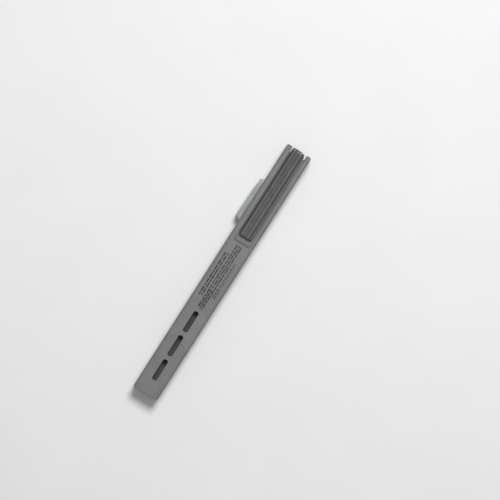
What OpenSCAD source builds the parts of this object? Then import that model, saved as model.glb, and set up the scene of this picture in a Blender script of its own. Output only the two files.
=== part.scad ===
// Slide-advance eraser holder with a flat eraser, a side thumb pad and a pocket clip.
// X runs from the tail to the tip, Z is up out of the clip face and the thumb pad is on the -Y side.
// The origin is the centre of the flat back face. Units are millimetres.

/* [Barrel] */
// Length of the barrel, tail ears included
barrel_length = 116; // [112:0.5:120]
// Width of the barrel across the clip face
barrel_width = 11.3; // [11:0.1:11.6]
// Height of the barrel, from the back face to the clip face
barrel_height = 9; // [8.9:0.1:9.6]
// Thickness of the moulded walls
wall = 1.2; // [1:0.1:1.3]
// Radius of the long edges
edge_radius = 1; // [0.4:0.1:1.1]
// Radius of the upright corners at both ends
corner_radius = 0.8; // [0.3:0.1:1.1]
// Height of the seam between the rear shell and the front shell
seam_height = 6.3; // [6.3:0.1:6.5]
// Length of the two ears that stand behind the front shell
ear_length = 2.2; // [1.8:0.1:3]

/* [Clip] */
// Length of the pocket clip
clip_length = 41.2; // [38:0.1:41.4]
// Width of the pocket clip
clip_width = 6.15; // [5.9:0.05:6.3]
// Width of the raised band along the clip, beside its groove and lip
clip_band = 5.25; // [4.85:0.05:5.4]
// Thickness of the clip's tongue
clip_thickness = 1.4; // [1.1:0.1:1.5]
// Width of the channel that the clip lies in
channel_width = 7.2; // [7:0.1:7.3]
// How far the channel's middle lies off the barrel's middle, away from the pad
channel_shift = 0.3; // [0.2:0.05:0.35]
// Distance from the tail to the foot of the channel's ramp
channel_length = 43.6; // [42:0.1:44.4]

/* [Windows] */
// Number of windows that the eraser is seen through
window_count = 3; // [1:1:4]
// Length of each window
window_length = 9.6; // [8:0.1:10]
// Width of each window
window_width = 2.1; // [1.8:0.05:2.6]
// Distance between the windows' centres
window_pitch = 11.5; // [11:0.1:12]
// Distance from the tip to the centre of the nearest window
window_from_tip = 11.2; // [11:0.1:12]

/* [Eraser] */
// Width of the flat eraser
eraser_width = 6; // [5.4:0.1:6]
// Thickness of the flat eraser
eraser_thickness = 3.4; // [2.8:0.1:3.4]
// Length of a new eraser
eraser_length = 77; // [70:1:78]
// Depth of the eraser's end inside the mouth when drawn back
tip_recess = 1.5; // [1:0.1:2]

/* [Click slide] */
// Travel of the eraser carrier
slide_travel = 60; // [55:2.5:60]
// Distance between clicks
click_pitch = 2.5; // [2:0.5:3]
// Height of the ratchet teeth
tooth_height = 0.4; // [0.3:0.05:0.45]
// Travel of the thumb pad when it is pressed to free the pawl
press_travel = 0.5; // [0.45:0.05:0.5]

/* [Thumb pad] */
// Length of the thumb pad
pad_length = 19; // [18:0.2:20]
// How far the pad stands out of the barrel
pad_reach = 2.3; // [1.8:0.1:2.8]
// Height of the pad
pad_height = 4.3; // [3.6:0.1:4.3]
// Distance between the pad's finger grooves
groove_pitch = 1.65; // [1.4:0.05:1.9]
// Number of finger grooves
groove_count = 10; // [6:1:10]

/* [Hidden] */
$fn = 48;

eps = 0.01;
// Extra length of a cutting solid past the face that it cuts
over = 1;
// Gaps between pieces that slide, and between pieces that only meet
running_gap = 0.15;
fit_gap = 0.05;

// Barrel
tail_x = -barrel_length / 2;
tip_x = barrel_length / 2;
shell_tail_x = tail_x + ear_length;
side_y = barrel_width / 2;
inner_y = side_y - wall;
ceiling_z = barrel_height - wall;
mouth_depth = 4;
mouth_x = tip_x - mouth_depth;
ear_drop = 0.6;

// Clip and its channel
channel_low_y = channel_shift - channel_width / 2;
channel_high_y = channel_shift + channel_width / 2;
clip_side_gap = 0.45;
clip_low_y = channel_low_y + clip_side_gap;
clip_high_y = clip_low_y + clip_width;
clip_middle_y = (clip_low_y + clip_high_y) / 2;
ear_side_gap = 0.2;
ear_low_y = channel_low_y - fit_gap;
ear_high_y = clip_high_y + ear_side_gap;
band_high_y = clip_low_y + clip_band;
band_middle_y = clip_low_y + clip_band / 2;
clip_under_gap = 0.5;
clip_under_z = barrel_height - clip_thickness;
channel_floor_z = clip_under_z - clip_under_gap;
ramp_length = 0.8;
ramp_lip = 0.3;
ramp_foot_x = tail_x + channel_length;
ramp_top_x = ramp_foot_x + ramp_length;
cavity_front_x = ramp_top_x + wall;
knuckle_radius = clip_thickness * 0.65;
knuckle_x = tail_x + knuckle_radius;
knuckle_z = barrel_height - knuckle_radius;
knuckle_inset = 0.6;
clip_tail_round = 2.6;
clip_corner = 0.9;
clip_edge = 0.5;
clip_groove = 0.45;
lip_width = 0.4;
lip_drop = 0.2;
clip_dish = 0.15;
ridge_width = 0.7;
dish_half = 0.5;
nub_radius = 0.9;
nub_setback = 3;
nub_inset = 1;

// Eraser and mouth
eraser_z = 3.75;
eraser_tip_x = tip_x - tip_recess;
eraser_tail_x = eraser_tip_x - eraser_length;
eraser_half = eraser_width / 2;
eraser_low_z = eraser_z - eraser_thickness / 2;
eraser_high_z = eraser_z + eraser_thickness / 2;
mouth_width = eraser_width + 2 * running_gap;
mouth_height = eraser_thickness + 2 * running_gap;
mouth_round = 0.4;
eraser_round = 0.3;

// Carrier: a cup that holds the eraser, and a tray behind it for the pawl
carrier_low_z = wall + running_gap;
carrier_high_z = seam_height - running_gap;
cup_wall = 0.65;
cup_y = eraser_half + fit_gap + cup_wall;
cup_back = 1.9;
cup_back_x = eraser_tail_x - fit_gap - cup_back;
cup_depth = 11.5;
cup_front_x = eraser_tail_x + cup_depth;
tray_length = 17.5;
tray_wall = 0.8;
tray_floor = 0.6;
tray_rim_drop = 0.4;
boss_drop = 0.8;
cup_round = 0.4;
carrier_tail_x = cup_back_x - tray_length;

// Thumb pad, its neck and the track that it runs in
pad_overhang = 0.45;
pad_tail_x = carrier_tail_x - pad_overhang;
pad_tip_x = pad_tail_x + pad_length;
pad_middle_x = (pad_tail_x + pad_tip_x) / 2;
pad_nose = 1;
pad_shoulder = 2.6;
pad_shoulder_drop = 0.8;
pad_end_round = 1.4;
pad_nose_height = 0.5;
groove_radius = 0.42;
groove_lift = 0.13;
first_groove = 2.2;
track_depth = press_travel + 2 * fit_gap;
track_clearance = 0.1;
end_clearance = 0.3;
slot_overcut = 0.5;
neck_length = 11.5;
neck_height = 1.3;
neck_socket = 1;
neck_round = 0.6;
track_low_z = eraser_z - pad_height / 2 - track_clearance;
track_high_z = eraser_z + pad_height / 2 + track_clearance;

// Ratchet rack, and the pawl block beside it
rack_low_z = 2;
rack_high_z = 2.85;
rack_root = 0.2;
pawl_x = pad_middle_x;
rack_count = ceil(slide_travel / click_pitch) + 2;
pawl_gap = 0.1;
pawl_outer_y = -(inner_y - pawl_gap);
pawl_relief_y = -(inner_y - tooth_height - pawl_gap);
pawl_inner_y = pawl_outer_y + 1.6;
pawl_low_z = 2.05;
pawl_high_z = 4.8;
pawl_split_z = rack_high_z + pawl_gap;

// Click finger: a thin strip rooted in the block, with a tooth at its free end
finger_x = pawl_x + fit_gap;
finger_length = 8;
finger_root = 1.6;
finger_thickness = 0.25;
finger_flex = 0.55;
finger_end_gap = 0.3;
finger_low_z = 2.1;
finger_high_z = 2.8;
finger_tooth_length = 1.5;
finger_tooth_y = -(inner_y - pawl_gap - 2 * eps);

// Leaf spring, bowed between the pawl and a boss on the carrier
leaf_thickness = 0.2;
leaf_span = 14;
leaf_height = 2.4;
leaf_bow = 2.5;
leaf_radius = (pow(leaf_span / 2, 2) + pow(leaf_bow, 2)) / (2 * leaf_bow);
boss_width = 3;

// Windows and the guide ribs beside them
window_round = window_width * 0.42;
rib_y = 2.3;
rib_width = 0.8;

// Snap tabs that hold the front shell on the rear shell
tab_xs = [tail_x + 10, 2, tip_x - 11];
tab_length = 4;
tab_thickness = 0.45;
tab_drop = 1.4;
hook_reach = 0.25;
hook_low_z = seam_height - 1.25;
hook_height = 0.5;
tab_root = 0.7;
pocket_gap = 0.1;

// Tail plug
plug_length = 3.4;
plug_inset = 0.15;
plug_side_inset = 0.4;
plug_low_y = clip_low_y + plug_side_inset;
plug_high_y = clip_high_y - plug_side_inset;
saddle_depth = 1;

// A rectangle with round corners, centred, drawn as bars and true circles
module rounded_rect(width, depth, radius) {
    square([width - 2 * radius, depth], center = true);
    square([width, depth - 2 * radius], center = true);
    for (sx = [-1, 1], sy = [-1, 1])
        translate([sx * (width / 2 - radius), sy * (depth / 2 - radius)])
            circle(radius);
}

// Runs a Y-Z outline from one X to another
module along_x(from_x, to_x) {
    translate([from_x, 0, 0])
        rotate([90, 0, 90])
            linear_extrude(to_x - from_x)
                children();
}

// Runs an X-Z outline from one Y to another
module along_y(from_y, to_y) {
    translate([0, to_y, 0])
        rotate([90, 0, 0])
            linear_extrude(to_y - from_y)
                children();
}

// Runs an X-Y outline from one Z to another
module along_z(from_z, to_z) {
    translate([0, 0, from_z])
        linear_extrude(to_z - from_z)
            children();
}

// A box given by its two corners
module box(low, high) {
    translate(low)
        cube(high - low);
}

// The barrel's outer form, cut to a length of X and a height of Z
module barrel_block(from_x, to_x, from_z, to_z) {
    intersection() {
        along_x(from_x, to_x)
            translate([0, barrel_height / 2])
                rounded_rect(barrel_width, barrel_height, edge_radius);
        along_z(from_z, to_z)
            rounded_rect(barrel_length, barrel_width, corner_radius);
    }
}

// Windows through the front shell's face, in a row from the tip
module windows() {
    for (i = [0 : window_count - 1])
        translate([tip_x - window_from_tip - i * window_pitch, 0, 0])
            along_z(seam_height, barrel_height + over)
                rounded_rect(window_length, window_width, window_round);
}

// The clip's channel, open at the tail, with a ramp and a small lip at its end
module clip_channel() {
    along_y(channel_low_y, channel_high_y)
        polygon([
            [shell_tail_x - over, channel_floor_z],
            [ramp_foot_x, channel_floor_z],
            [ramp_top_x, barrel_height - ramp_lip],
            [ramp_top_x, barrel_height + over],
            [shell_tail_x - over, barrel_height + over]
        ]);
}

// One hooked tab under each side of the front shell at every tab position
module snap_tabs() {
    for (x = tab_xs, side = [0, 1])
        mirror([0, side, 0])
            union() {
                box([x - tab_length / 2, inner_y - fit_gap - tab_thickness, seam_height - tab_drop],
                    [x + tab_length / 2, inner_y - fit_gap, seam_height + tab_root]);
                box([x - tab_length / 2, inner_y - fit_gap - tab_thickness, seam_height],
                    [x + tab_length / 2, inner_y + fit_gap, seam_height + tab_root]);
                along_x(x - tab_length / 2, x + tab_length / 2)
                    polygon([
                        [inner_y - fit_gap - eps, hook_low_z],
                        [inner_y + hook_reach, hook_low_z + hook_height],
                        [inner_y - fit_gap - eps, hook_low_z + hook_height]
                    ]);
            }
}

// Pockets in the rear shell that the tabs' hooks snap into
module snap_pockets() {
    for (x = tab_xs, side = [0, 1])
        mirror([0, side, 0])
            box([x - tab_length / 2 - pocket_gap, inner_y - eps, hook_low_z - pocket_gap],
                [x + tab_length / 2 + pocket_gap, inner_y + hook_reach + pocket_gap,
                    hook_low_z + hook_height + pocket_gap]);
}

// Upper half of the barrel: clip channel, windows, guide ribs and snap tabs
module front_shell() {
    color([0.45, 0.45, 0.44])
        union() {
            difference() {
                barrel_block(shell_tail_x, tip_x, seam_height, barrel_height);
                clip_channel();
                box([cavity_front_x, -inner_y, seam_height - over], [mouth_x, inner_y, ceiling_z]);
                windows();
            }
            for (side = [0, 1])
                mirror([0, side, 0])
                    box([cavity_front_x - eps, rib_y, seam_height],
                        [mouth_x + eps, rib_y + rib_width, ceiling_z + eps]);
            snap_tabs();
        }
}

// Ratchet teeth along the slot: a ramp towards the tip and a steep face against the pawl's back
module rack() {
    first_x = pawl_x - click_pitch;
    teeth = [for (i = [0 : rack_count - 1])
        each [[first_x + i * click_pitch, -inner_y + fit_gap],
              [first_x + (i + 1) * click_pitch, -inner_y + tooth_height]]];
    last_x = first_x + rack_count * click_pitch;
    along_z(rack_low_z, rack_high_z)
        polygon(concat([[first_x, -inner_y - rack_root]], teeth, [[last_x, -inner_y - rack_root]]));
}

// Track and slot in the side wall for the thumb pad and its neck
module pad_track() {
    track_length = pad_length + slide_travel + 2 * end_clearance;
    slot_length = neck_length + slide_travel + 2 * end_clearance;
    middle_x = pad_middle_x + slide_travel / 2;
    translate([middle_x, 0, (track_low_z + track_high_z) / 2])
        along_y(-side_y - over, -side_y + track_depth)
            rounded_rect(track_length, track_high_z - track_low_z, pad_end_round + track_clearance);
    translate([middle_x, 0, eraser_z])
        along_y(-side_y - over, -inner_y + slot_overcut)
            rounded_rect(slot_length, neck_height + 2 * track_clearance, neck_round + track_clearance);
}

// Lower half of the barrel: a tray with the mouth, the pad's track, the rack and the tail ears
module rear_shell() {
    color([0.30, 0.30, 0.29])
        union() {
            difference() {
                barrel_block(shell_tail_x, tip_x, 0, seam_height);
                box([shell_tail_x - over, -inner_y, wall], [mouth_x, inner_y, seam_height + over]);
                along_x(mouth_x - over, tip_x + over)
                    translate([0, eraser_z])
                        rounded_rect(mouth_width, mouth_height, mouth_round);
                pad_track();
                snap_pockets();
            }
            rack();
            tail_ears();
        }
}

// Ears that stand behind the front shell, one each side of the clip
module tail_ears() {
    difference() {
        barrel_block(tail_x, shell_tail_x, 0, barrel_height - ear_drop);
        box([tail_x - over, ear_low_y, -over],
            [shell_tail_x + over, ear_high_y, barrel_height + over]);
    }
    for (side = [0, 1])
        mirror([0, side, 0])
            box([shell_tail_x - eps, inner_y, edge_radius],
                [shell_tail_x + eps, side_y - fit_gap, seam_height - eps]);
}

// The part of the plug that stands between the ears, just inside the clip's outline
module plug_tongue(low_z, high_z, end_x) {
    intersection() {
        along_z(low_z, high_z)
            translate([plug_inset, 0])
                clip_outline();
        box([tail_x, plug_low_y, low_z - over], [end_x, plug_high_y, high_z + over]);
    }
}

// Plug that closes the tail and cradles the clip's knuckle
module tail_plug() {
    cradle_radius = knuckle_radius + fit_gap;
    color([0.25, 0.25, 0.24])
        difference() {
            union() {
                box([shell_tail_x, -inner_y + fit_gap, wall + fit_gap],
                    [shell_tail_x + plug_length, inner_y - fit_gap, seam_height - fit_gap]);
                plug_tongue(wall + fit_gap, seam_height - fit_gap, shell_tail_x + eps);
                plug_tongue(seam_height - saddle_depth, clip_under_z - fit_gap, shell_tail_x - fit_gap);
            }
            translate([knuckle_x, 0, knuckle_z])
                rotate([90, 0, 0])
                    cylinder(r = cradle_radius, h = channel_width, center = true);
            box([shell_tail_x + wall, -inner_y + wall, 2 * wall],
                [shell_tail_x + plug_length + over, inner_y - wall, seam_height - wall]);
        }
}

// Outline of the clip from above: square with small corners, and one broad corner at the tail
module clip_outline() {
    half = clip_width / 2;
    translate([tail_x, clip_middle_y])
        union() {
            translate([clip_tail_round, -half])
                square([clip_length - clip_tail_round - clip_corner, clip_width]);
            translate([0, -half + clip_corner])
                square([clip_length, clip_width - clip_corner - clip_tail_round]);
            translate([clip_corner, -half])
                square([clip_length / 2, half]);
            translate([clip_length / 2, -half + clip_corner])
                square([clip_length / 2, clip_width - 2 * clip_corner]);
            translate([clip_corner, -half + clip_corner])
                circle(clip_corner);
            translate([clip_tail_round, half - clip_tail_round])
                circle(clip_tail_round);
            for (side = [-1, 1])
                translate([clip_length - clip_corner, side * (half - clip_corner)])
                    circle(clip_corner);
        }
}

// Cross-section of the clip's tongue: a raised band, dished along its middle, then a groove and a thin lip
module clip_section() {
    low_z = clip_under_z - over;
    top_z = barrel_height;
    edge_step = clip_edge * 0.3;
    lip_low_y = clip_high_y - lip_width;
    polygon([
        [clip_low_y, low_z],
        [clip_low_y, top_z - clip_edge],
        [clip_low_y + edge_step, top_z - edge_step],
        [clip_low_y + clip_edge, top_z],
        [clip_low_y + clip_edge + ridge_width, top_z],
        [band_middle_y - dish_half, top_z - clip_dish],
        [band_middle_y + dish_half, top_z - clip_dish],
        [band_high_y - clip_edge - ridge_width, top_z],
        [band_high_y - clip_edge, top_z],
        [band_high_y - edge_step, top_z - edge_step],
        [band_high_y, top_z - clip_groove],
        [lip_low_y, top_z - clip_groove],
        [lip_low_y, top_z - lip_drop],
        [clip_high_y, top_z - lip_drop],
        [clip_high_y, low_z]
    ]);
}

// Pocket clip: the tongue, a knuckle at the tail and a nub under its free end
module pocket_clip() {
    nub_x = tail_x + clip_length - nub_setback;
    color([0.38, 0.38, 0.37])
        union() {
            intersection() {
                along_z(clip_under_z, barrel_height)
                    clip_outline();
                along_x(tail_x, tail_x + clip_length)
                    clip_section();
                union() {
                    box([knuckle_x, -side_y, clip_under_z - over],
                        [tail_x + clip_length + over, side_y, barrel_height + over]);
                    translate([knuckle_x, 0, knuckle_z])
                        rotate([90, 0, 0])
                            cylinder(r = knuckle_radius, h = 2 * clip_width, center = true);
                }
            }
            intersection() {
                translate([knuckle_x, clip_middle_y, knuckle_z])
                    rotate([90, 0, 0])
                        cylinder(r = knuckle_radius, h = clip_width - 2 * knuckle_inset, center = true);
                along_z(clip_under_z - over, barrel_height - clip_groove)
                    clip_outline();
            }
            intersection() {
                translate([nub_x, clip_middle_y, clip_under_z - clip_under_gap + nub_radius + fit_gap])
                    rotate([90, 0, 0])
                        cylinder(r = nub_radius, h = clip_width - 2 * nub_inset, center = true);
                box([nub_x - 2 * nub_radius, -side_y, clip_under_z - over],
                    [nub_x + 2 * nub_radius, side_y, clip_under_z + nub_radius / 3]);
            }
        }
}

// Carrier: a cup round the eraser's end, and a tray with a spring boss behind it
module eraser_carrier() {
    color([0.62, 0.70, 0.74])
        union() {
            difference() {
                along_x(cup_back_x, cup_front_x)
                    translate([0, (carrier_low_z + carrier_high_z) / 2])
                        rounded_rect(2 * cup_y, carrier_high_z - carrier_low_z, cup_round);
                box([eraser_tail_x - fit_gap, -eraser_half - fit_gap, eraser_low_z - fit_gap],
                    [cup_front_x + over, eraser_half + fit_gap, eraser_high_z + fit_gap]);
            }
            box([carrier_tail_x, -cup_y, carrier_low_z],
                [cup_back_x + eps, cup_y, carrier_low_z + tray_floor]);
            box([carrier_tail_x, cup_y - tray_wall, carrier_low_z],
                [cup_back_x + eps, cup_y, carrier_high_z - tray_rim_drop]);
            box([carrier_tail_x, -cup_y, carrier_low_z],
                [carrier_tail_x + tray_wall, cup_y, carrier_high_z - tray_rim_drop]);
            box([pawl_x - boss_width / 2, pawl_inner_y + leaf_bow + 2 * eps, carrier_low_z],
                [pawl_x + boss_width / 2, cup_y, carrier_high_z - boss_drop]);
        }
}

// Flat eraser bar with softly rounded long edges
module eraser() {
    color([0.33, 0.33, 0.34])
        along_x(eraser_tail_x, eraser_tip_x)
            translate([0, eraser_z])
                rounded_rect(eraser_width, eraser_thickness, eraser_round);
}

// Outline of the thumb pad from above: a long low shoulder at the tail and a short steep nose
module pad_outline() {
    outer_y = -side_y - pad_reach;
    inner_face_y = -side_y + fit_gap;
    difference() {
        polygon([
            [pad_tail_x, inner_face_y],
            [pad_tail_x, outer_y + pad_shoulder_drop],
            [pad_tail_x + pad_shoulder, outer_y],
            [pad_tip_x - pad_nose, outer_y],
            [pad_tip_x, -side_y - pad_nose_height],
            [pad_tip_x, inner_face_y]
        ]);
        for (i = [0 : groove_count - 1])
            translate([pad_tail_x + first_groove + i * groove_pitch, outer_y - groove_lift])
                circle(groove_radius);
    }
}

// Thumb pad: grooved outside, on a flat neck that passes through the slot
module thumb_pad() {
    color([0.55, 0.62, 0.66])
        union() {
            intersection() {
                along_z(eraser_z - pad_height / 2, eraser_z + pad_height / 2)
                    pad_outline();
                translate([pad_middle_x, 0, eraser_z])
                    along_y(-side_y - pad_reach - over, 0)
                        rounded_rect(pad_length, pad_height, pad_end_round);
            }
            translate([pad_middle_x, 0, eraser_z])
                along_y(-side_y + fit_gap - eps, pawl_outer_y + neck_socket - fit_gap)
                    rounded_rect(neck_length, neck_height, neck_round);
        }
}

// Pawl block: slides in the carrier, holds the pad's neck and carries the click finger
module pawl_block() {
    low_x = carrier_tail_x + tray_wall + pawl_gap;
    high_x = cup_back_x - pawl_gap;
    root_x = finger_x + finger_length;
    color([0.80, 0.80, 0.78])
        difference() {
            union() {
                box([low_x, pawl_outer_y, pawl_split_z], [high_x, pawl_inner_y, pawl_high_z]);
                box([low_x, pawl_relief_y, pawl_low_z], [high_x, pawl_inner_y, pawl_split_z + eps]);
            }
            translate([pad_middle_x, 0, eraser_z])
                along_y(-side_y, pawl_outer_y + neck_socket)
                    rounded_rect(neck_length + fit_gap, neck_height + fit_gap, neck_round);
            box([finger_x - finger_end_gap, pawl_relief_y - over, pawl_low_z - over],
                [root_x, pawl_relief_y + finger_thickness + finger_flex, pawl_split_z]);
            box([root_x - eps, pawl_relief_y - over, finger_low_z - eps],
                [root_x + finger_root + eps, pawl_relief_y + finger_thickness + eps, finger_high_z + eps]);
        }
}

// Click finger: its tooth stands in the rack, is lifted out by the pad and rides over towards the tip
module click_finger() {
    end_x = finger_x + finger_length + finger_root;
    color([0.75, 0.76, 0.78])
        along_z(finger_low_z, finger_high_z)
            polygon([
                [finger_x, finger_tooth_y],
                [finger_x + finger_tooth_length, pawl_relief_y],
                [end_x, pawl_relief_y],
                [end_x, pawl_relief_y + finger_thickness],
                [finger_x, pawl_relief_y + finger_thickness]
            ]);
}

// Bowed leaf spring that pushes the pawl block out against the rack
module leaf_spring() {
    ends_y = pawl_inner_y + eps;
    centre_y = ends_y + leaf_bow - leaf_radius;
    color([0.75, 0.76, 0.78])
        along_z(eraser_z - leaf_height / 2, eraser_z + leaf_height / 2)
            intersection() {
                translate([pawl_x, centre_y])
                    difference() {
                        circle(leaf_radius);
                        circle(leaf_radius - leaf_thickness);
                    }
                translate([pawl_x - leaf_span / 2, ends_y])
                    square([leaf_span, leaf_bow]);
            }
}

front_shell();
rear_shell();
tail_plug();
pocket_clip();
eraser_carrier();
eraser();
thumb_pad();
pawl_block();
click_finger();
leaf_spring();
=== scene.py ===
# %% [markdown]
# # A slide-advance eraser holder
#
# The holder is a slim flat barrel of two moulded plastic shells. A clip lies in a channel at the
# tail, a ribbed thumb pad stands on one long side, and a flat eraser slides out of the mouth.
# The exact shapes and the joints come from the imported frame. This file gives each piece its
# finish: softened edges, surface texture, printed marks, light and a camera.

# %% Load the frame
import math
import random
import bmesh
import bpy
from mathutils import Matrix, Vector


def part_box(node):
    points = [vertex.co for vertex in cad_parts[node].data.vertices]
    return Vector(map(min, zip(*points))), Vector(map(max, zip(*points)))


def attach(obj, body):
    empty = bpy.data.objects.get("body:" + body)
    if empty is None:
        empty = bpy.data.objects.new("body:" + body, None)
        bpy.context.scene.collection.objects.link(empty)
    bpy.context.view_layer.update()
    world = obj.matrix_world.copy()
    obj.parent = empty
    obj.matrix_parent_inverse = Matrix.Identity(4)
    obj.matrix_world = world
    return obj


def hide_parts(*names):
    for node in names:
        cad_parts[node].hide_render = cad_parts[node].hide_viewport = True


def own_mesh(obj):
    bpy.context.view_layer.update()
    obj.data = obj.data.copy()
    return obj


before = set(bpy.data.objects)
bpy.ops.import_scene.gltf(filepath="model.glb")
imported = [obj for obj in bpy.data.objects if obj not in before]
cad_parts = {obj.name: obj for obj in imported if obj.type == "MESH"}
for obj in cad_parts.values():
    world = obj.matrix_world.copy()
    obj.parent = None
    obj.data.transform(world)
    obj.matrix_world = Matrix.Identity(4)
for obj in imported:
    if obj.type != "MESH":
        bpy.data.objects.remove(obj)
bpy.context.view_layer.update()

# %% [markdown]
# ## Sizes that the looks share
#
# Blender works in metres and the holder is 116 mm long, so every size below is given in
# millimetres and multiplied by MM. Positions are read from the frame's own nodes where they can
# be, so that a finish always lands on the piece that it belongs to.

# %% Units and the main positions
MM = 0.001
cover_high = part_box("front_shell")[1]
clip_low, clip_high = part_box("pocket_clip")
pad_low, pad_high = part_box("thumb_pad")
bar_low, bar_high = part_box("eraser")
TOP = cover_high.z
SIDE = cover_high.y
print(f"clip face at {TOP / MM:.2f} mm, side at {SIDE / MM:.2f} mm")
print(f"eraser from {bar_low.x / MM:.2f} to {bar_high.x / MM:.2f} mm")

# %% [markdown]
# ## Node helpers
#
# Every finish here is made of the same few steps: take the object's own coordinates, run them
# through a noise, and use the result for colour, roughness or bump. Object coordinates stay with
# a piece when it moves, so the grain doesn't slide while the eraser advances.

# %% Small helpers for node materials
def new_material(name):
    material = bpy.data.materials.new(name)
    material.use_nodes = True
    nodes = material.node_tree.nodes
    shader = nodes["Principled BSDF"]
    coordinates = nodes.new("ShaderNodeTexCoord")
    return material, shader, coordinates.outputs["Object"]


def noise(material, vector, scale, detail, stretch=None):
    tree = material.node_tree
    if stretch:
        mapping = tree.nodes.new("ShaderNodeMapping")
        mapping.inputs["Scale"].default_value = stretch
        tree.links.new(vector, mapping.inputs["Vector"])
        vector = mapping.outputs["Vector"]
    texture = tree.nodes.new("ShaderNodeTexNoise")
    texture.inputs["Scale"].default_value = scale
    texture.inputs["Detail"].default_value = detail
    tree.links.new(vector, texture.inputs["Vector"])
    return texture.outputs["Fac"]


def ramp(material, value, stops):
    tree = material.node_tree
    node = tree.nodes.new("ShaderNodeValToRGB")
    points = node.color_ramp.elements
    while len(points) < len(stops):
        points.new(0.5)
    for point, (position, color) in zip(points, stops):
        point.position = position
        point.color = (*color, 1)
    tree.links.new(value, node.inputs["Fac"])
    return node.outputs["Color"]


def remap(material, value, low, high, to_low, to_high):
    tree = material.node_tree
    node = tree.nodes.new("ShaderNodeMapRange")
    node.inputs["From Min"].default_value = low
    node.inputs["From Max"].default_value = high
    node.inputs["To Min"].default_value = to_low
    node.inputs["To Max"].default_value = to_high
    tree.links.new(value, node.inputs["Value"])
    return node.outputs["Result"]


def blend_colors(material, factor, first, second):
    tree = material.node_tree
    node = tree.nodes.new("ShaderNodeMix")
    node.data_type = "RGBA"
    tree.links.new(factor, node.inputs["Factor"])
    for side, color in (("A", first), ("B", second)):
        socket = [s for s in node.inputs if s.name == side and s.type == "RGBA"][0]
        if isinstance(color, tuple):
            socket.default_value = (*color, 1)
        else:
            tree.links.new(color, socket)
    return [s for s in node.outputs if s.type == "RGBA"][0]


def bump(material, shader, heights):
    tree = material.node_tree
    normal = None
    for height, distance, strength in heights:
        node = tree.nodes.new("ShaderNodeBump")
        node.inputs["Distance"].default_value = distance
        node.inputs["Strength"].default_value = strength
        tree.links.new(height, node.inputs["Height"])
        if normal is not None:
            tree.links.new(normal, node.inputs["Normal"])
        normal = node.outputs["Normal"]
    tree.links.new(normal, shader.inputs["Normal"])


def edge_wear(material, low=0.52, high=0.60):
    tree = material.node_tree
    geometry = tree.nodes.new("ShaderNodeNewGeometry")
    return remap(material, geometry.outputs["Pointiness"], low, high, 0, 1)


def connect(material, value, socket):
    material.node_tree.links.new(value, socket)


# %% [markdown]
# ## Moulded plastic
#
# The shells come out of a spark-eroded mould, which leaves a fine even matt texture, with soft
# cloudy changes in the grey where the plastic flowed. The edges that hands and desks rub are a
# little paler and smoother. One function makes each grey part, because only the grey, the
# grain's depth and the gloss differ.

# %% Grey moulded plastic
def moulded_plastic(name, grey, gloss, grain_height, cloud=0.06, wear=0.25):
    material, shader, place = new_material(name)
    clouds = noise(material, place, 160, 3)
    dark = tuple(c * (1 - cloud) for c in grey)
    pale = tuple(c * (1 + cloud) for c in grey)
    body = ramp(material, clouds, [(0.3, dark), (0.7, pale)])
    specks = noise(material, place, 5200, 2)
    speck_color = tuple(c * 0.82 for c in grey)
    speckled = blend_colors(material, remap(material, specks, 0.62, 0.72, 0, 0.5), body, speck_color)
    worn = tuple(min(1, c * 1.35 + 0.02) for c in grey)
    rubbed = edge_wear(material)
    patches = noise(material, place, 420, 3)
    amount = material.node_tree.nodes.new("ShaderNodeMath")
    amount.operation = "MULTIPLY"
    connect(material, rubbed, amount.inputs[0])
    connect(material, remap(material, patches, 0.35, 0.65, 0, wear), amount.inputs[1])
    color = blend_colors(material, amount.outputs[0], speckled, worn)
    connect(material, color, shader.inputs["Base Color"])
    rough = remap(material, patches, 0.3, 0.7, gloss - 0.05, gloss + 0.06)
    connect(material, rough, shader.inputs["Roughness"])
    grain = noise(material, place, 7500, 2)
    swell = noise(material, place, 300, 2)
    bump(material, shader, [(swell, 0.00002, 0.25), (grain, grain_height, 0.5)])
    return material


COVER_GREY = (0.165, 0.166, 0.162)
TRAY_GREY = (0.150, 0.151, 0.147)
CLIP_GREY = (0.068, 0.073, 0.069)
PLUG_GREY = (0.090, 0.091, 0.088)
cover_plastic = moulded_plastic("cover_plastic", COVER_GREY, 0.52, 0.00003, cloud=0.09)
tray_plastic = moulded_plastic("tray_plastic", TRAY_GREY, 0.50, 0.00003, cloud=0.09)
clip_plastic = moulded_plastic("clip_plastic", CLIP_GREY, 0.29, 0.000008, wear=0.35)
plug_plastic = moulded_plastic("plug_plastic", PLUG_GREY, 0.55, 0.00002)
acetal = moulded_plastic("acetal", (0.62, 0.62, 0.59), 0.42, 0.00001, cloud=0.03, wear=0.05)
print("grey plastics:", cover_plastic.name, tray_plastic.name, clip_plastic.name, plug_plastic.name)

# %% [markdown]
# ## Translucent blue-grey plastic
#
# The thumb pad and the carrier are moulded in a clear plastic with a little smoke-blue tint.
# Light goes in and scatters, so the piece looks lit from inside and paler at its thin edges.
# Part transmission over a pale tint does that without the cost of a real volume.

# %% Smoky translucent plastic
def smoky_plastic(name, tint, clear, gloss):
    material, shader, place = new_material(name)
    streaks = noise(material, place, 420, 3, stretch=(0.6, 1, 1))
    deep = tuple(c * 0.80 for c in tint)
    pale = tuple(min(1, c * 1.16) for c in tint)
    connect(material, ramp(material, streaks, [(0.3, deep), (0.7, pale)]), shader.inputs["Base Color"])
    smudges = noise(material, place, 500, 3)
    rough = remap(material, smudges, 0.3, 0.7, gloss - 0.05, gloss + 0.10)
    connect(material, rough, shader.inputs["Roughness"])
    shader.inputs["Transmission Weight"].default_value = clear
    shader.inputs["IOR"].default_value = 1.49
    ripple = noise(material, place, 900, 2)
    grain = noise(material, place, 6000, 2)
    bump(material, shader, [(ripple, 0.00002, 0.3), (grain, 0.000008, 0.4)])
    return material


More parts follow.
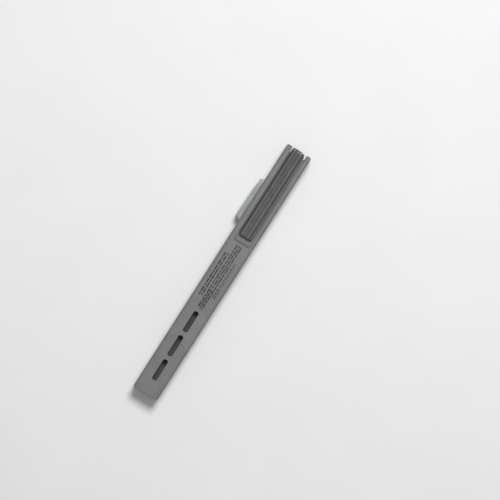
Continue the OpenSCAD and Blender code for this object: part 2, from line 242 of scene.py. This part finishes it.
SMOKE_BLUE = (0.40, 0.44, 0.455)
pad_plastic = smoky_plastic("pad_plastic", SMOKE_BLUE, 0.28, 0.30)
carrier_plastic = smoky_plastic("carrier_plastic", SMOKE_BLUE, 0.35, 0.32)
print("smoky plastics:", pad_plastic.name, carrier_plastic.name)

# %% [markdown]
# ## Eraser rubber, ink and spring steel
#
# An ink eraser is rubber filled with fine grit, so it is dull, dark and speckled, and its
# surface is rough. The printed marks are a thin coat of dark ink, dull and slightly uneven. The
# springs are cold-rolled steel strip with fine lines along X.

# %% Rubber, ink and steel
def gritty_rubber(name, grey):
    material, shader, place = new_material(name)
    clouds = noise(material, place, 220, 4)
    dark = tuple(c * 0.85 for c in grey)
    pale = tuple(c * 1.15 for c in grey)
    body = ramp(material, clouds, [(0.3, dark), (0.7, pale)])
    grit = noise(material, place, 4200, 2)
    pale_grit = tuple(c * 2.1 for c in grey)
    speckled = blend_colors(material, remap(material, grit, 0.60, 0.68, 0, 0.7), body, pale_grit)
    dark_grit = noise(material, place, 3300, 2)
    dots = remap(material, dark_grit, 0.62, 0.70, 0, 0.8)
    deep = tuple(c * 0.35 for c in grey)
    connect(material, blend_colors(material, dots, speckled, deep), shader.inputs["Base Color"])
    connect(material, remap(material, grit, 0.3, 0.7, 0.82, 0.95), shader.inputs["Roughness"])
    bump(material, shader, [(clouds, 0.00006, 0.5), (grit, 0.00005, 0.7)])
    return material


def pad_print_ink(name, color):
    material, shader, place = new_material(name)
    coat = noise(material, place, 1500, 3)
    thin = tuple(c * 1.35 for c in color)
    connect(material, ramp(material, coat, [(0.35, thin), (0.65, color)]), shader.inputs["Base Color"])
    connect(material, remap(material, coat, 0.3, 0.7, 0.58, 0.72), shader.inputs["Roughness"])
    bump(material, shader, [(noise(material, place, 6000, 2), 0.000006, 0.4)])
    return material


def rolled_steel(name):
    material, shader, place = new_material(name)
    lines = noise(material, place, 1800, 3, stretch=(0.04, 1, 1))
    body = ramp(material, lines, [(0.3, (0.48, 0.48, 0.49)), (0.7, (0.62, 0.62, 0.63))])
    connect(material, body, shader.inputs["Base Color"])
    connect(material, remap(material, lines, 0.3, 0.7, 0.24, 0.36), shader.inputs["Roughness"])
    shader.inputs["Metallic"].default_value = 1.0
    bump(material, shader, [(lines, 0.000004, 0.5)])
    return material


rubber = gritty_rubber("gritty_rubber", (0.060, 0.061, 0.061))
ink = pad_print_ink("print_ink", (0.020, 0.021, 0.021))
steel = rolled_steel("rolled_steel")
print("other finishes:", rubber.name, ink.name, steel.name)

# %% [markdown]
# ## Finishing a mesh
#
# A flat face that meets a tiny rounded edge looks dented when its normals are averaged evenly,
# because the narrow strip pulls on the wide face's corners. Weighting each corner's normal by
# the area of the faces around it keeps wide faces flat and lets only the edge turn. Faces that
# meet at a real crease are left out of each other's sums, so a groove's wall stays a wall.

# %% From bmesh to a finished piece
CREASE = math.cos(math.radians(50))


def area_weighted_normals(mesh):
    around = [[] for _ in mesh.vertices]
    for face in mesh.polygons:
        for index in face.vertices:
            around[index].append(face)
    normals = []
    for face in mesh.polygons:
        for index in face.vertices:
            total = Vector()
            for other in around[index]:
                if other.normal.dot(face.normal) > CREASE:
                    total += other.normal * other.area
            normals.append(total.normalized())
    mesh.normals_split_custom_set(normals)


def make_piece(name, bm, material, body, replaced=()):
    mesh = bpy.data.meshes.new(name)
    bm.to_mesh(mesh)
    bm.free()
    mesh.materials.append(material)
    for face in mesh.polygons:
        face.use_smooth = True
    area_weighted_normals(mesh)
    piece = bpy.data.objects.new(name, mesh)
    bpy.context.collection.objects.link(piece)
    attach(piece, body)
    if replaced:
        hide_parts(*replaced)
    print(f"{name}: {len(mesh.polygons)} faces")
    return piece


# %% [markdown]
# ## Shells with softened edges
#
# A machined solid has perfectly sharp edges; a moulded one never does. The shells' shapes are
# already exact in the frame, so the quickest true copy is the frame's own mesh: merge its loose
# triangles, dissolve the flat ones into whole faces, and bevel what is left sharp by a tenth of
# a millimetre or so. Modelling the shells again by hand would only add chances to be wrong.

# %% Copy a node and soften its sharp edges
MERGE = 0.002 * MM
FLAT = math.radians(0.6)
SHARP = math.radians(38)


def softened_copy(node, width, segments=2):
    bm = bmesh.new()
    bm.from_mesh(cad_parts[node].data)
    bmesh.ops.remove_doubles(bm, verts=bm.verts, dist=MERGE)
    bmesh.ops.dissolve_limit(bm, angle_limit=FLAT, verts=bm.verts, edges=bm.edges)
    edges = [e for e in bm.edges if len(e.link_faces) == 2 and e.calc_face_angle(0) > SHARP]
    bmesh.ops.bevel(
        bm, geom=edges, offset=width, offset_type="OFFSET", affect="EDGES",
        segments=segments, profile=0.5, material=-1, clamp_overlap=False)
    return bm


for node, name, material, body, slot, width in (
    ("front_shell", "cover", cover_plastic, "barrel", "shell_plastic", 0.10 * MM),
    ("rear_shell", "tray", tray_plastic, "barrel", "tray_plastic", 0.06 * MM),
    ("tail_plug", "tail_block", plug_plastic, "barrel", "plug_plastic", 0.06 * MM),
    ("eraser_carrier", "carrier", carrier_plastic, "carriage", "carrier_plastic", 0.06 * MM),
):
    make_piece(name, softened_copy(node, width), material, body, (node,))

# %% [markdown]
# ## Pieces that keep the frame's mesh
#
# The pawl block and its click finger are deep inside, so their exact shapes are enough. They
# only need their own finishes. The leaf spring is a bowed strip that gives way as the thumb pad
# is pressed. It gets softened edges.

# %% Finishes for the inner pieces
for node, material in (("pawl_block", acetal), ("click_finger", steel)):
    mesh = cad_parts[node].data
    mesh.materials.clear()
    mesh.materials.append(material)
    print(f"{node} wears {material.name}")

# %% The leaf spring with softened edges
SPRING_EDGE = 0.02 * MM
spring = make_piece(
    "bowed_spring", softened_copy("leaf_spring", SPRING_EDGE), steel,
    "carriage", ("leaf_spring",))
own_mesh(spring)

# %% [markdown]
# ## Pocket clip
#
# The clip is a springy tongue: a raised band, dished along its middle so that two soft ridges
# catch the light, then a groove and a thin lip. It starts as one flat face: each corner is
# bevelled to its own radius, the face is pulled up to the clip's thickness, and the rim is
# rounded. Cuts along the length then give the section its points to bend at. The tail end rolls
# over into the round knuckle that turns in the tail block.

# %% A flat outline with its own radius at each corner
def rounded_outline(low_x, high_x, low_y, high_y, z, radii, segments=8):
    bm = bmesh.new()
    bmesh.ops.create_grid(bm, x_segments=1, y_segments=1, size=0.5)
    middle = Vector(((low_x + high_x) / 2, (low_y + high_y) / 2, z))
    bmesh.ops.scale(bm, vec=(high_x - low_x, high_y - low_y, 1), verts=bm.verts)
    bmesh.ops.translate(bm, vec=middle, verts=bm.verts)
    corners = {}
    for vert in bm.verts:
        corners[(vert.co.x > middle.x, vert.co.y > middle.y)] = vert
    for (tip_side, left_side), radius in radii.items():
        bmesh.ops.bevel(
            bm, geom=[corners[(tip_side, left_side)]], offset=radius, offset_type="OFFSET",
            affect="VERTICES", segments=segments, profile=0.5, material=-1)
    return bm


def pull_up(bm, height):
    grown = bmesh.ops.extrude_face_region(bm, geom=list(bm.faces))
    verts = [item for item in grown["geom"] if isinstance(item, bmesh.types.BMVert)]
    bmesh.ops.translate(bm, vec=(0, 0, height), verts=verts)
    bmesh.ops.recalc_face_normals(bm, faces=bm.faces)


HAIR = 0.001 * MM
STEEP = 0.5


def rim_edges(bm, z):
    return [
        e for e in bm.edges
        if all(abs(v.co.z - z) < HAIR for v in e.verts)
        and any(abs(f.normal.z) < STEEP for f in e.link_faces)
    ]


def round_edges(bm, edges, radius, segments):
    bmesh.ops.bevel(
        bm, geom=edges, offset=radius, offset_type="OFFSET", affect="EDGES",
        segments=segments, profile=0.5, material=-1, clamp_overlap=False)


SNAP = 1e-7


def cut_across(bm, axis, positions):
    for position in positions:
        point = [0, 0, 0]
        normal = [0, 0, 0]
        point[axis] = position
        normal[axis] = 1
        everything = list(bm.verts) + list(bm.edges) + list(bm.faces)
        bmesh.ops.bisect_plane(bm, geom=everything, dist=SNAP, plane_co=point, plane_no=normal)


# %% The clip's tongue
CLIP_THICK = 1.4 * MM
BROAD_CORNER = 2.6 * MM
SMALL_CORNER = 0.9 * MM
CLIP_RIM = 0.12 * MM
BAND_HALF = 2.56 * MM
LIP_WIDTH = 0.50 * MM
LIP_INSET = 0.18 * MM
WALL_LEAN = 0.06 * MM
band_middle = clip_low.y + BAND_HALF
band_edge = clip_low.y + 2 * BAND_HALF
tongue_high_y = clip_high.y - LIP_INSET
lip_edge = tongue_high_y - LIP_WIDTH
tongue = rounded_outline(
    clip_low.x, clip_high.x, clip_low.y, tongue_high_y, TOP - CLIP_THICK,
    {(False, False): SMALL_CORNER, (False, True): BROAD_CORNER,
     (True, False): SMALL_CORNER, (True, True): SMALL_CORNER}, segments=10)
pull_up(tongue, CLIP_THICK)
round_edges(tongue, rim_edges(tongue, TOP), CLIP_RIM, 3)
round_edges(tongue, rim_edges(tongue, TOP - CLIP_THICK), CLIP_RIM, 2)
CUT_STEP = 0.15 * MM
TAIL_CUTS = 7
cut_count = int((band_edge - clip_low.y) / CUT_STEP)
cut_across(tongue, 1, [clip_low.y + CUT_STEP * step for step in range(2, cut_count)])
cut_across(tongue, 1, [band_edge, band_edge + WALL_LEAN, lip_edge - WALL_LEAN, lip_edge])
cut_across(tongue, 0, [clip_low.x + CUT_STEP * step for step in range(1, TAIL_CUTS + 1)])
print("tongue blank:", len(tongue.faces), "faces")

# %% Dish the band, sink the groove and roll the tail down
RIDGE_Y = 1.55 * MM
VALLEY_SOFT = 0.30 * MM
DISH_DEPTH = 0.30 * MM
DISH_POWER = 1.8
PAD_SIDE_FALL = 0.75 * MM
GROOVE_SIDE_FALL = 0.28 * MM
FALL_POWER = 2.4
GROOVE_DROP = 0.55 * MM
LIP_DROP = 0.08 * MM
ROLL = 1.2 * MM
ROLL_DROP = 0.40 * MM


def section_drop(y):
    if y > lip_edge - HAIR:
        return LIP_DROP
    if y > band_edge + HAIR:
        return GROOVE_DROP
    off = math.hypot(y - band_middle, VALLEY_SOFT)
    dish = DISH_DEPTH * max(0, 1 - off / RIDGE_Y) ** DISH_POWER
    outside = max(0, (off - RIDGE_Y) / (BAND_HALF - RIDGE_Y))
    fall = PAD_SIDE_FALL if y < band_middle else GROOVE_SIDE_FALL
    return dish + fall * outside ** FALL_POWER


UPPER_PART = 0.6
for vert in tongue.verts:
    if vert.co.z > TOP - UPPER_PART * CLIP_THICK:
        vert.co.z -= section_drop(vert.co.y)
    behind = max(0, clip_low.x + ROLL - vert.co.x) / ROLL
    height = max(0, (vert.co.z - TOP + CLIP_THICK) / CLIP_THICK)
    vert.co.z -= ROLL_DROP * behind ** 2 * height
print("tongue:", len(tongue.faces), "faces")

# %% The knuckle and the nub join the tongue
BAR_END = math.radians(60)
BAR_RIM = 0.12


def add_round_bar(bm, middle, radius, length, segments=28):
    turned = Matrix.Translation(middle) @ Matrix.Rotation(math.radians(90), 4, "X")
    made = bmesh.ops.create_cone(
        bm, cap_ends=True, cap_tris=False, segments=segments,
        radius1=radius, radius2=radius, depth=length, matrix=turned)
    ring = {e for v in made["verts"] for e in v.link_edges if e.calc_face_angle(0) > BAR_END}
    round_edges(bm, list(ring), radius * BAR_RIM, 2)


KNUCKLE_R = 0.62 * MM
KNUCKLE_IN = 0.91 * MM
KNUCKLE_DOWN = 1.20 * MM
KNUCKLE_SHORTER = 1.5 * MM
clip_middle = (clip_low.y + clip_high.y) / 2
clip_width = clip_high.y - clip_low.y
knuckle = Vector((clip_low.x + KNUCKLE_IN, clip_middle, TOP - KNUCKLE_DOWN))
add_round_bar(tongue, knuckle, KNUCKLE_R, clip_width - KNUCKLE_SHORTER)
NUB_R = 0.60 * MM
NUB_IN = 3.0 * MM
NUB_DOWN = 1.25 * MM
NUB_SHORTER = 2.2 * MM
nub = Vector((clip_high.x - NUB_IN, clip_middle, TOP - NUB_DOWN))
add_round_bar(tongue, nub, NUB_R, clip_width - NUB_SHORTER)
make_piece("clip_tongue", tongue, clip_plastic, "clip", ("pocket_clip",))

# %% [markdown]
# ## Thumb pad
#
# The thumb pushes on a row of fine finger grooves. The pad has a long low shoulder at the tail
# and a short steep nose. It starts as a box: both ends are made by moving two edges in, the
# corners and rims are rounded, then the body is cut into thin slices and every slice near the
# outer face sinks by the groove's own wave. A flat neck joins the pad to the pawl inside.

# %% The pad's body
SHOULDER = 2.6 * MM
SHOULDER_DROP = 0.8 * MM
NOSE = 1.0 * MM
NOSE_DROP = 1.8 * MM
FACE_GAP = 0.05 * MM
PAD_FLAT = math.radians(1)
pad_face_y = pad_low.y
pad_back_y = -SIDE + FACE_GAP
pad_low_z = pad_low.z
pad_high_z = pad_high.z
pad = bmesh.new()
bmesh.ops.create_cube(pad, size=1)
bmesh.ops.scale(
    pad, vec=(pad_high.x - pad_low.x, pad_back_y - pad_face_y, pad_high_z - pad_low_z), verts=pad.verts)
bmesh.ops.translate(
    pad, vec=((pad_low.x + pad_high.x) / 2, (pad_face_y + pad_back_y) / 2, (pad_low_z + pad_high_z) / 2),
    verts=pad.verts)
cut_across(pad, 0, [pad_low.x + SHOULDER, pad_high.x - NOSE])
for vert in pad.verts:
    if vert.co.y < pad_back_y - HAIR and vert.co.x > pad_high.x - HAIR:
        vert.co.y += NOSE_DROP
    elif vert.co.y < pad_back_y - HAIR and vert.co.x < pad_low.x + HAIR:
        vert.co.y += SHOULDER_DROP
bmesh.ops.dissolve_limit(pad, angle_limit=PAD_FLAT, verts=pad.verts, edges=pad.edges)
print("pad blank:", len(pad.faces), "faces")

# %% Round the pad
def upright_edges(bm, x, y):
    return [
        e for e in bm.edges
        if all(abs(v.co.x - x) < HAIR and abs(v.co.y - y) < HAIR for v in e.verts)
    ]


PAD_RIM = 0.35 * MM
PAD_MERGE = 0.003 * MM
for x, y, radius in (
    (pad_low.x, pad_face_y + SHOULDER_DROP, 0.5 * MM),
    (pad_low.x + SHOULDER, pad_face_y, 0.9 * MM),
    (pad_high.x - NOSE, pad_face_y, 0.5 * MM),
):
    round_edges(pad, upright_edges(pad, x, y), radius, 5)
for z in (pad_low_z, pad_high_z):
    outer_rim = [
        e for e in rim_edges(pad, z)
        if not all(abs(v.co.y - pad_back_y) < HAIR for v in e.verts)
    ]
    round_edges(pad, outer_rim, PAD_RIM, 4)
bmesh.ops.remove_doubles(pad, verts=pad.verts, dist=PAD_MERGE)
print("rounded pad:", len(pad.faces), "faces")

# %% Cut the finger grooves
GROOVE_START = 2.2 * MM
GROOVE_PITCH = 1.65 * MM
GROOVE_COUNT = 10
GROOVE_DEPTH = 0.50 * MM
GROOVE_REACH = 1.2 * MM
GROOVE_POWER = 4
SLICES = 12
first_groove = pad_low.x + GROOVE_START
cuts = [
    first_groove + (groove + step / SLICES - 0.5) * GROOVE_PITCH
    for groove in range(GROOVE_COUNT) for step in range(SLICES)
]
cut_across(pad, 0, cuts)
cut_across(pad, 2, [pad_low_z + (pad_high_z - pad_low_z) * part for part in (0.25, 0.5, 0.75)])
last_groove = first_groove + (GROOVE_COUNT - 0.5) * GROOVE_PITCH
for vert in pad.verts:
    along = (vert.co.x - first_groove) / GROOVE_PITCH
    if -0.5 <= along and vert.co.x <= last_groove:
        wave = (0.5 + 0.5 * math.cos(2 * math.pi * along)) ** GROOVE_POWER
        depth_in = (vert.co.y - pad_face_y) / GROOVE_REACH
        vert.co.y += GROOVE_DEPTH * wave * max(0, 1 - depth_in)
print("grooved pad:", len(pad.faces), "faces")

# %% Add the neck and finish the pad
def add_soft_box(bm, low, high, radius, segments=2):
    made = bmesh.ops.create_cube(bm, size=1)
    low, high = Vector(low), Vector(high)
    bmesh.ops.scale(bm, vec=high - low, verts=made["verts"])
    bmesh.ops.translate(bm, vec=(low + high) / 2, verts=made["verts"])
    edges = list({e for v in made["verts"] for e in v.link_edges})
    bmesh.ops.bevel(
        bm, geom=edges, offset=radius, offset_type="OFFSET", affect="EDGES",
        segments=segments, profile=0.5, material=-1)


NECK_HALF = 5.7 * MM
NECK_OVERLAP = 0.3 * MM
NECK_EDGE = 0.25 * MM
NECK_THICK = 0.62 * MM
neck_middle_x = (pad_low.x + pad_high.x) / 2
neck_z = (pad_low_z + pad_high_z) / 2
add_soft_box(
    pad, (neck_middle_x - NECK_HALF, pad_back_y - NECK_OVERLAP, neck_z - NECK_THICK),
    (neck_middle_x + NECK_HALF, pad_high.y, neck_z + NECK_THICK), NECK_EDGE)
bmesh.ops.recalc_face_normals(pad, faces=pad.faces)
make_piece("thumb_slider", pad, pad_plastic, "button", ("thumb_pad",))

# %% [markdown]
# ## Eraser
#
# The eraser is a flat bar cut from a rubber sheet. Its long edges are softly rounded, and the
# working end is worn: rounder, and a little uneven. A seeded random push on the fine cuts near
# that end gives the wear, and takes no more than a twentieth of a millimetre off the bar.

# %% The eraser bar
random.seed(7)
WORN_LENGTH = 2.4 * MM
WORN_CUTS = 8
WORN_PUSH = 0.05 * MM
LONG_EDGE = 0.35 * MM
END_EDGE = 0.27 * MM
WIDTH_CUTS = 12
HEIGHT_CUTS = 8
bar_width = bar_high.y - bar_low.y
bar_height = bar_high.z - bar_low.z
bar = bmesh.new()
bmesh.ops.create_cube(bar, size=1)
bmesh.ops.scale(bar, vec=bar_high - bar_low, verts=bar.verts)
bmesh.ops.translate(bar, vec=(bar_low + bar_high) / 2, verts=bar.verts)
long_edges = [e for e in bar.edges if abs(e.verts[0].co.x - e.verts[1].co.x) > MM]
round_edges(bar, long_edges, LONG_EDGE, 4)
end_rim = [
    e for e in bar.edges
    if all(abs(v.co.x - bar_high.x) < HAIR for v in e.verts)
]
round_edges(bar, end_rim, END_EDGE, 3)
cut_across(bar, 0, [bar_high.x - WORN_LENGTH * step / WORN_CUTS for step in range(2, WORN_CUTS + 1)])
cut_across(bar, 1, [bar_low.y + bar_width * step / WIDTH_CUTS for step in range(1, WIDTH_CUTS)])
cut_across(bar, 2, [bar_low.z + bar_height * step / HEIGHT_CUTS for step in range(1, HEIGHT_CUTS)])
for vert in bar.verts:
    worn = max(0, 1 - (bar_high.x - vert.co.x) / WORN_LENGTH)
    push = random.uniform(0, WORN_PUSH) * worn
    vert.co.x -= push
    vert.co.y -= math.copysign(push * 0.5, vert.co.y)
make_piece("eraser_bar", bar, rubber, "refill", ("eraser",))

# %% [markdown]
# ## Printed marks
#
# The cover carries rows of pad-printed marks. Here they are plain dashes that spell nothing:
# enough to give the barrel its printed look. Each dash is a tiny rounded outline pulled up by a
# fiftieth of a millimetre, which is about the thickness of real ink, and set a little into the
# shell so that no gap shows. Every line starts at another length in the row's list, so that the
# gaps stagger like bricks instead of lining up into letters.

# %% One dash
INK_THICK = 0.02 * MM
INK_SINK = 0.012 * MM


def add_dash(bm, low_x, high_x, low_y, high_y, radius):
    dash = rounded_outline(
        low_x, high_x, low_y, high_y, TOP - INK_SINK,
        {(a, b): radius for a in (False, True) for b in (False, True)}, segments=3)
    pull_up(dash, INK_THICK)
    mesh = bpy.data.meshes.new("dash")
    dash.to_mesh(mesh)
    dash.free()
    bm.from_mesh(mesh)
    bpy.data.meshes.remove(mesh)


# %% Lay out the rows
SHORTEST_DASH = 0.3 * MM
DASH_CORNER = 0.3


def print_row(name, low_x, high_x, low_y, high_y, lengths, gap, stroke, lines):
    bm = bmesh.new()
    spacing = (high_y - low_y - stroke) / (lines - 1)
    for line in range(lines):
        y = low_y + line * spacing
        x = low_x
        turn = line
        while x < high_x - SHORTEST_DASH:
            end = min(high_x, x + lengths[turn % len(lengths)] * MM)
            add_dash(bm, x, end, y, y + stroke, stroke * DASH_CORNER)
            x = end + gap
            turn += 1
    make_piece(name, bm, ink, "barrel")


# Each row: its name, its X and Y limits, its dashes' lengths, gap and width, and its lines
for name, low_x, high_x, low_y, high_y, lengths, gap, stroke, lines in (
    ("print_row_a", -7.6, 12.5, -3.5, -1.85, (1.9, 0.9, 2.5), 0.34, 0.60, 2),
    ("print_row_b", -12.5, 8.0, -1.05, 1.4, (2.4, 1.1, 3.0, 1.6), 0.34, 0.50, 3),
    ("print_row_b2", 8.35, 17.2, -1.05, 1.4, (2.2, 1.3, 1.8), 0.28, 0.62, 3),
    ("print_row_c", -5.6, 5.9, 2.2, 3.1, (1.0, 0.6, 1.5), 0.30, 0.26, 2),
    ("print_row_d", 6.5, 11.1, 2.05, 3.3, (1.5, 0.9), 0.26, 0.42, 2),
):
    print_row(
        name, low_x * MM, high_x * MM, low_y * MM, high_y * MM,
        lengths, gap * MM, stroke * MM, lines)

# %% [markdown]
# ## Floor, light and camera
#
# The holder lies on its back on a pale table. A broad soft lamp stands over its tail, so that
# the windows are darkest at their tail ends and the shadow falls beyond the mouth. A second lamp
# hangs close to the camera's own axis: it makes the clip's flat tops shine and leaves its slopes
# dark, which is how a semi-gloss section is read from above. A pale sky keeps the shade open.
# The camera looks straight down from far away with a long lens, which keeps parallel edges
# parallel.

# %% The table top
TABLE_HALF = 0.8
floor_mesh = bpy.data.meshes.new("table_top")
floor_bm = bmesh.new()
bmesh.ops.create_grid(floor_bm, x_segments=1, y_segments=1, size=TABLE_HALF)
floor_bm.to_mesh(floor_mesh)
floor_bm.free()
floor = bpy.data.objects.new("table_top", floor_mesh)
bpy.context.collection.objects.link(floor)
paper, paper_shader, paper_place = new_material("pale_table")
fibres = noise(paper, paper_place, 30, 3)
paper_color = ramp(paper, fibres, [(0.3, (0.85, 0.85, 0.845)), (0.7, (0.87, 0.87, 0.865))])
connect(paper, paper_color, paper_shader.inputs["Base Color"])
paper_shader.inputs["Roughness"].default_value = 0.8
floor_mesh.materials.append(paper)
print(f"{floor.name} in {paper.name}, {2 * TABLE_HALF} m wide")

# %% The camera
TURN = math.radians(32.55)
right = Vector((-math.sin(TURN), math.cos(TURN), 0))
up = Vector((-math.cos(TURN), -math.sin(TURN), 0))
VIEW_WIDTH = 201.75 * MM
DISTANCE = 1.5
ASIDE = 11.14 * MM
ABOVE = 8.92 * MM
SENSOR = 36
lens_data = bpy.data.cameras.new("camera")
lens_data.sensor_width = SENSOR
lens_data.lens = SENSOR * (DISTANCE - TOP) / VIEW_WIDTH
camera = bpy.data.objects.new("camera", lens_data)
bpy.context.collection.objects.link(camera)
spot = right * ASIDE + up * ABOVE
placement = Matrix((right, up, Vector((0, 0, 1)))).transposed().to_4x4()
placement.translation = Vector((spot.x, spot.y, DISTANCE))
camera.matrix_world = placement
bpy.context.scene.camera = camera
print("camera over", [round(v / MM, 2) for v in spot.xy], "mm")

# %% The lamps and the sky
def add_lamp(name, direction, distance, size, power):
    data = bpy.data.lights.new(name, "AREA")
    data.shape = "DISK"
    data.size = size
    data.energy = power
    lamp = bpy.data.objects.new(name, data)
    bpy.context.collection.objects.link(lamp)
    lamp.location = direction.normalized() * distance
    lamp.rotation_euler = (-direction).to_track_quat("-Z", "Y").to_euler()
    print(f"{name} lamp: {power} W, {size} m wide, {distance} m away")


add_lamp("key", Vector((-0.55, -0.06, 1.0)), 0.9, 0.35, 6.2)
add_lamp("overhead", Vector((0.04, 0.03, 1.0)), 1.2, 0.45, 1.3)
SKY_STRENGTH = 0.22
world = bpy.data.worlds.new("pale_sky")
world.use_nodes = True
world.node_tree.nodes["Background"].inputs["Color"].default_value = (1, 1, 1, 1)
world.node_tree.nodes["Background"].inputs["Strength"].default_value = SKY_STRENGTH
bpy.context.scene.world = world
bpy.context.scene.view_settings.view_transform = "Standard"
